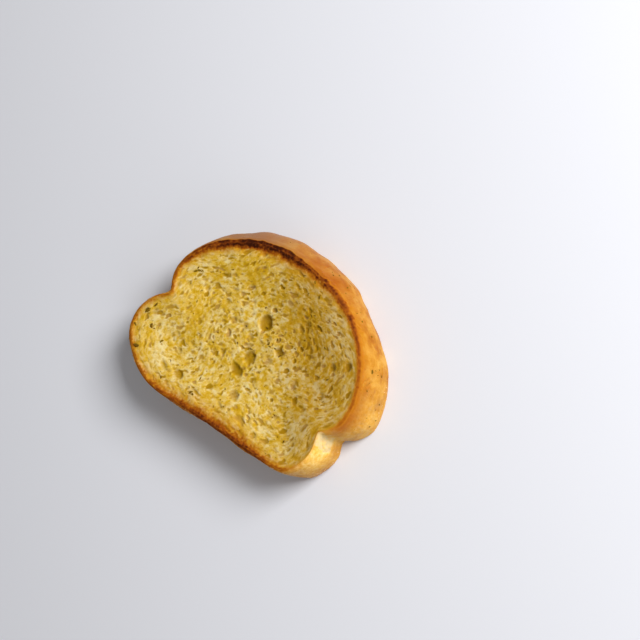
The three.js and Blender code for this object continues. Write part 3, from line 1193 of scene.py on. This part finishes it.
# ---------------------------------------------------------------------------------------------
# THE HERB SPECKS
# Finer dust of the same herbs and of black pepper, sunk into the butter all over the face and a
# little on the crust.
SPECKS_ON_CRUMB, SPECKS_ON_CRUST = 120, 20
SPECK_LIFT = 0.04
USUAL_REACH = 60.0  # from the middle to the crust, to turn millimetres round it into an angle
blank = bmesh.new()
bmesh.ops.create_icosphere(blank, subdivisions=1, radius=1.0)
LUMP_POINTS = np.array([vertex.co for vertex in blank.verts])
LUMP_FACES = np.array([[vertex.index for vertex in face.verts] for face in blank.faces])
blank.free()
NO_QUADS = np.zeros((0, 4), int)


def lump(size, flatness):
    """A small uneven lump about the origin."""
    points = LUMP_POINTS * chance.uniform(0.7, 1.3, (len(LUMP_POINTS), 1))
    points = points * (chance.uniform(0.8, 1.4), chance.uniform(0.6, 1.0), flatness)
    return turned(0.5 * size * points, chance.uniform(0, np.pi))


def lump_on_crust(angles, depths, sizes, flatness):
    """A lump on the crust, within the given degrees round it, millimetres down and sizes."""
    angle, down = np.radians(chance.uniform(*angles)), chance.uniform(*depths)
    made = lump(chance.uniform(*sizes), flatness)
    made[:, 0] = angle + made[:, 0] / USUAL_REACH
    made[:, 1] = np.clip(made[:, 1] + down, 0, THICKNESS)
    return on_crust(made), NO_QUADS, LUMP_FACES[:, ::-1]


specks = []
for _ in range(SPECKS_ON_CRUMB):
    x, y = crumb_spot(clear_of_rim=2)
    made = lump(chance.uniform(0.3, 0.6), 0.5) + (x, y, SPECK_LIFT)
    specks.append((on_face(made), NO_QUADS, LUMP_FACES))
for _ in range(SPECKS_ON_CRUST):
    specks.append(lump_on_crust((-18, 150), (3, 21), (0.3, 0.5), 0.5))
herb_specks = gathered("herb_specks", specks)
herb_specks.data.materials.append(dried_herb)
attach(herb_specks, "root")

# ---------------------------------------------------------------------------------------------
# THE TOAST CRUMBS
# Loose pale crumbs that the knife dragged out of the slice, caught along the foot of the crust on
# the tin side and under the dome's right shoulder.

# Where they cling: the degrees round the crust, the millimetres down it, and how many.
CRUMB_BELTS = [
    ((-150, -45), (0.4, 2.4), 70),
    ((-150, -45), (18, 24.4), 60),
    ((-45, -24), (17, 24.4), 40),
    ((-22, 12), (19, 24.4), 40),
]
crumbs = []
for angles, depths, count in CRUMB_BELTS:
    crumbs += [lump_on_crust(angles, depths, (0.25, 0.6), 0.8) for _ in range(count)]
toast_crumbs = gathered("toast_crumbs", crumbs)

dry_crumb, tree = empty_material("dry_bread_crumb")
place = add(tree, "ShaderNodeTexCoord").outputs["Object"]
toasting = add(
    tree, "ShaderNodeTexNoise", {"Scale": grain_scale(1.5), "Detail": 2.0}, {"Vector": place}
)
crumb_tone = add(
    tree,
    "ShaderNodeValToRGB",
    {"stops": [(0.35, linear(0xB87C40)), (0.5, linear(0xDCB078)), (0.65, linear(0xEED4AC))]},
    {0: toasting.outputs["Fac"]},
)
surface = add(
    tree,
    "ShaderNodeBsdfPrincipled",
    {"Roughness": 0.8, "IOR": 1.45},
    {"Base Color": crumb_tone.outputs["Color"]},
)
add(tree, "ShaderNodeOutputMaterial", {}, {"Surface": surface.outputs[0]})
toast_crumbs.data.materials.append(dry_crumb)
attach(toast_crumbs, "root")

# ---------------------------------------------------------------------------------------------
# THE STUDIO
# A pale matt floor, a large window of light high behind the dome's right shoulder, a weaker one low
# on the right, and a little light from all round.
FLOOR_HALF = 2.0
AIR_COLOUR, AIR_STRENGTH = (1.0, 0.97, 0.93, 1.0), 0.22
floor_mesh = bpy.data.meshes.new("studio_floor")
floor_corners = [(-1, -1), (1, -1), (1, 1), (-1, 1)]
floor_points = [(FLOOR_HALF * x, FLOOR_HALF * y, 0) for x, y in floor_corners]
floor_mesh.from_pydata(floor_points, [], [(0, 1, 2, 3)])
floor = bpy.data.objects.new("studio_floor", floor_mesh)
bpy.context.scene.collection.objects.link(floor)
floor_paint = bpy.data.materials.new("matt_floor_paint")
floor_paint.use_nodes = True
floor_surface = floor_paint.node_tree.nodes["Principled BSDF"]
floor_surface.inputs["Base Color"].default_value = linear(0xDCDFE8)
floor_surface.inputs["Roughness"].default_value = 0.55
floor_mesh.materials.append(floor_paint)

world = bpy.data.worlds.new("studio_air")
world.use_nodes = True
air = world.node_tree.nodes["Background"]
air.inputs["Color"].default_value = AIR_COLOUR
air.inputs["Strength"].default_value = AIR_STRENGTH
bpy.context.scene.world = world
middle = Vector((0, 0, 0.5 * THICKNESS * MM))


def softbox(name, azimuth, height, distance, size, watts, colour):
    """A square softbox that faces the slice, from an azimuth and a height in degrees."""
    light = bpy.data.lights.new(name, "AREA")
    light.shape = "SQUARE"
    light.size = size
    light.energy = watts
    light.color = colour
    made = bpy.data.objects.new(name, light)
    az, el = np.radians(azimuth), np.radians(height)
    away = Vector((np.cos(el) * np.cos(az), np.cos(el) * np.sin(az), np.sin(el)))
    towards = away.to_track_quat("Z", "Y").to_matrix().to_4x4()
    made.matrix_world = Matrix.Translation(middle + distance * away) @ towards
    bpy.context.scene.collection.objects.link(made)


softbox("window", 52, 37, 1.3, 0.6, 22.5, (1.0, 0.98, 0.95))
softbox("reflector", -22, 22, 1.3, 0.8, 3.5, (1.0, 0.98, 0.96))

# The camera looks down on the face, leaning out over the dome's right shoulder. In millimetres:
# where it stands, the point it looks at, the focal length and the sensor.
STAND = np.array([308.71, 100.7, 630.56])
TARGET = np.array([15.03, 21.64, 0.0])
LENS, SENSOR = 77.2, 36.0
ROLL = np.radians(27.92)
forward = (TARGET - STAND) / np.linalg.norm(TARGET - STAND)
sideways = np.cross(forward, (0, 1, 0))
sideways /= np.linalg.norm(sideways)
upright = np.cross(sideways, forward)
right = np.cos(ROLL) * sideways + np.sin(ROLL) * upright
up = np.cos(ROLL) * upright - np.sin(ROLL) * sideways
camera_data = bpy.data.cameras.new("camera")
camera_data.lens = LENS
camera_data.sensor_width = SENSOR
camera = bpy.data.objects.new("camera", camera_data)
camera.matrix_world = Matrix(
    [[right[k], up[k], -forward[k], STAND[k] * MM] for k in range(3)] + [[0, 0, 0, 1]]
)
bpy.context.scene.collection.objects.link(camera)
bpy.context.scene.camera = camera
bpy.context.scene.view_settings.view_transform = "Standard"
